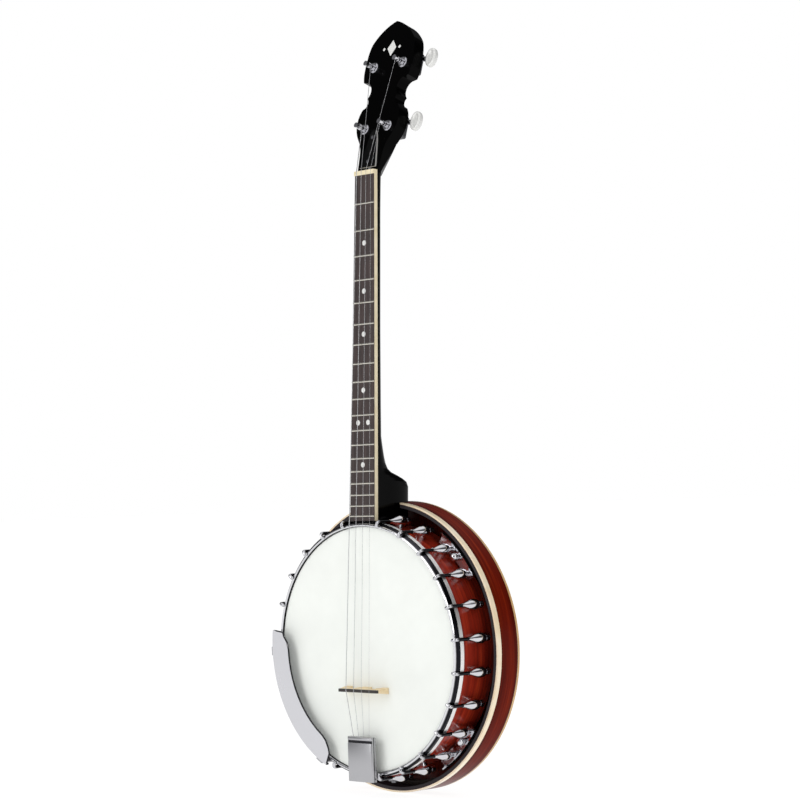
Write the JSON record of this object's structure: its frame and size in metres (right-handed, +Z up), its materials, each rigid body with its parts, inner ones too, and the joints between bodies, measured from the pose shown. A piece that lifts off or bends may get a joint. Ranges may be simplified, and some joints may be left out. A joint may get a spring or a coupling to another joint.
{
  "type": "tenor banjo",
  "caption": "Resonator tenor banjo with long slim neck, geared tuners, round white head, ring of tension hooks, clamshell tailpiece and armrest.",
  "frame": {"origin": "centre of the flat middle of the resonator back, on the axis of the pot", "axes": "+Z up the neck to the peghead, +Y out of the resonator back, +X to the right as the head is seen"},
  "size_m": [0.327, 0.1126, 0.8798],
  "materials": {
    "chrome": "polished chrome plate",
    "flesh_metal": "satin aluminium",
    "hoop_metal": "polished plate",
    "dark_steel": "plain steel",
    "ring_metal": "turned brass",
    "rim_wood": "red-brown gloss lacquer",
    "resonator_wood": "red-brown mahogany under gloss lacquer",
    "lining_wood": "kerfed lining stained dark",
    "head": "coated white film",
    "black_lacquer": "gloss black lacquer",
    "overlay_black": "gloss black",
    "rosewood": "oiled rosewood",
    "cream_binding": "polished cream",
    "tan_binding": "polished cream",
    "pearl": "pearl-like",
    "fret_metal": "polished nickel silver",
    "nut_bone": "polished bone colour",
    "maple": "bare maple",
    "ebony": "polished ebony",
    "string_steel": "plain and wound steel",
    "armrest_metal": "polished plate",
    "tuner_metal": "satin nickel"
  },
  "bodies": {
    "banjo": {"rim": "rim_wood", "tone_ring": "ring_metal", "drum_head": "head", "flesh_hoop": "flesh_metal", "tension_hoop": "hoop_metal", "bracket_hooks": "chrome", "hook_nuts": "chrome", "bracket_shoes": "chrome", "shoe_screws": "dark_steel", "coordinator_rod": "dark_steel", "rod_nuts": "dark_steel", "neck_lag_bolt": "dark_steel", "tail_stud": "dark_steel", "resonator_side": "resonator_wood", "resonator_back": "resonator_wood", "resonator_front_binding": "cream_binding", "resonator_back_binding": "tan_binding", "resonator_lining": "lining_wood", "resonator_lugs": "dark_steel", "resonator_brackets": "chrome", "bracket_spacers": "chrome", "neck": "black_lacquer", "fingerboard": "rosewood", "fingerboard_binding": "cream_binding", "position_dots": "pearl", "frets": "fret_metal", "nut": "nut_bone", "truss_rod": "dark_steel", "peghead_overlay": "overlay_black", "peghead_inlay": "pearl", "truss_rod_cover": "overlay_black", "truss_cover_screws": "chrome", "tuner_housings": "tuner_metal", "tuner_bushings": "chrome", "housing_screws": "tuner_metal", "strings": "string_steel", "bridge_body": "maple", "bridge_cap": "ebony", "tailpiece_base": "chrome", "tailpiece_pin": "dark_steel", "tailpiece_hanger": "chrome", "armrest": "armrest_metal", "armrest_legs": "armrest_metal"},
    "tailpiece_lid": {"tailpiece_cover": "chrome"},
    "thumb_1": {"thumb_screw_1": "chrome"},
    "thumb_2": {"thumb_screw_2": "chrome"},
    "thumb_3": {"thumb_screw_3": "chrome"},
    "thumb_4": {"thumb_screw_4": "chrome"},
    "post_1": {"tuner_post_1": "chrome"},
    "button_1": {"tuner_shaft_1": "chrome", "tuner_button_1": "pearl"},
    "post_2": {"tuner_post_2": "chrome"},
    "button_2": {"tuner_shaft_2": "chrome", "tuner_button_2": "pearl"},
    "post_3": {"tuner_post_3": "chrome"},
    "button_3": {"tuner_shaft_3": "chrome", "tuner_button_3": "pearl"},
    "post_4": {"tuner_post_4": "chrome"},
    "button_4": {"tuner_shaft_4": "chrome", "tuner_button_4": "pearl"}
  },
  "joints": [
    {"name": "tailpiece_cover_hinge", "type": "hinge", "parent": "banjo", "child": "tailpiece_lid", "pos_m": [0, -0.098, -0.1425], "axis": [1, 0, 0], "range_deg": [0, 60]},
    {"name": "thumb_screw_1_turn", "type": "hinge", "parent": "banjo", "child": "thumb_1", "pos_m": [0.10627, -0.0365, 0.10084], "axis": [0, 1, 0], "continuous": true},
    {"name": "thumb_screw_2_turn", "type": "hinge", "parent": "banjo", "child": "thumb_2", "pos_m": [0.10627, -0.0365, -0.10084], "axis": [0, 1, 0], "continuous": true},
    {"name": "thumb_screw_3_turn", "type": "hinge", "parent": "banjo", "child": "thumb_3", "pos_m": [-0.10627, -0.0365, 0.10084], "axis": [0, 1, 0], "continuous": true},
    {"name": "thumb_screw_4_turn", "type": "hinge", "parent": "banjo", "child": "thumb_4", "pos_m": [-0.10627, -0.0365, -0.10084], "axis": [0, 1, 0], "continuous": true},
    {"name": "button_1_turn", "type": "hinge", "parent": "banjo", "child": "button_1", "pos_m": [-0.0306, -0.02387, 0.59289], "axis": [-1, 0, 0], "continuous": true},
    {"name": "post_1_turn", "type": "hinge", "parent": "banjo", "child": "post_1", "pos_m": [-0.0186, -0.0454, 0.58933], "axis": [0, 0.9548, -0.2974], "continuous": true},
    {"name": "button_2_turn", "type": "hinge", "parent": "banjo", "child": "button_2", "pos_m": [0.0306, -0.02387, 0.59289], "axis": [1, 0, 0], "continuous": true},
    {"name": "post_2_turn", "type": "hinge", "parent": "banjo", "child": "post_2", "pos_m": [0.0186, -0.0454, 0.58933], "axis": [0, 0.9548, -0.2974], "continuous": true},
    {"name": "button_3_turn", "type": "hinge", "parent": "banjo", "child": "button_3", "pos_m": [-0.0355, -0.00082, 0.66689], "axis": [-1, 0, 0], "continuous": true},
    {"name": "post_3_turn", "type": "hinge", "parent": "banjo", "child": "post_3", "pos_m": [-0.0235, -0.02236, 0.66333], "axis": [0, 0.9548, -0.2974], "continuous": true},
    {"name": "button_4_turn", "type": "hinge", "parent": "banjo", "child": "button_4", "pos_m": [0.0355, -0.00082, 0.66689], "axis": [1, 0, 0], "continuous": true},
    {"name": "post_4_turn", "type": "hinge", "parent": "banjo", "child": "post_4", "pos_m": [0.0235, -0.02236, 0.66333], "axis": [0, 0.9548, -0.2974], "continuous": true}
  ],
  "couplings": [
    {"joint": "post_1_turn", "follows": "button_1_turn", "ratio": -0.071429},
    {"joint": "post_2_turn", "follows": "button_2_turn", "ratio": -0.071429},
    {"joint": "post_3_turn", "follows": "button_3_turn", "ratio": -0.071429},
    {"joint": "post_4_turn", "follows": "button_4_turn", "ratio": -0.071429}
  ]
}
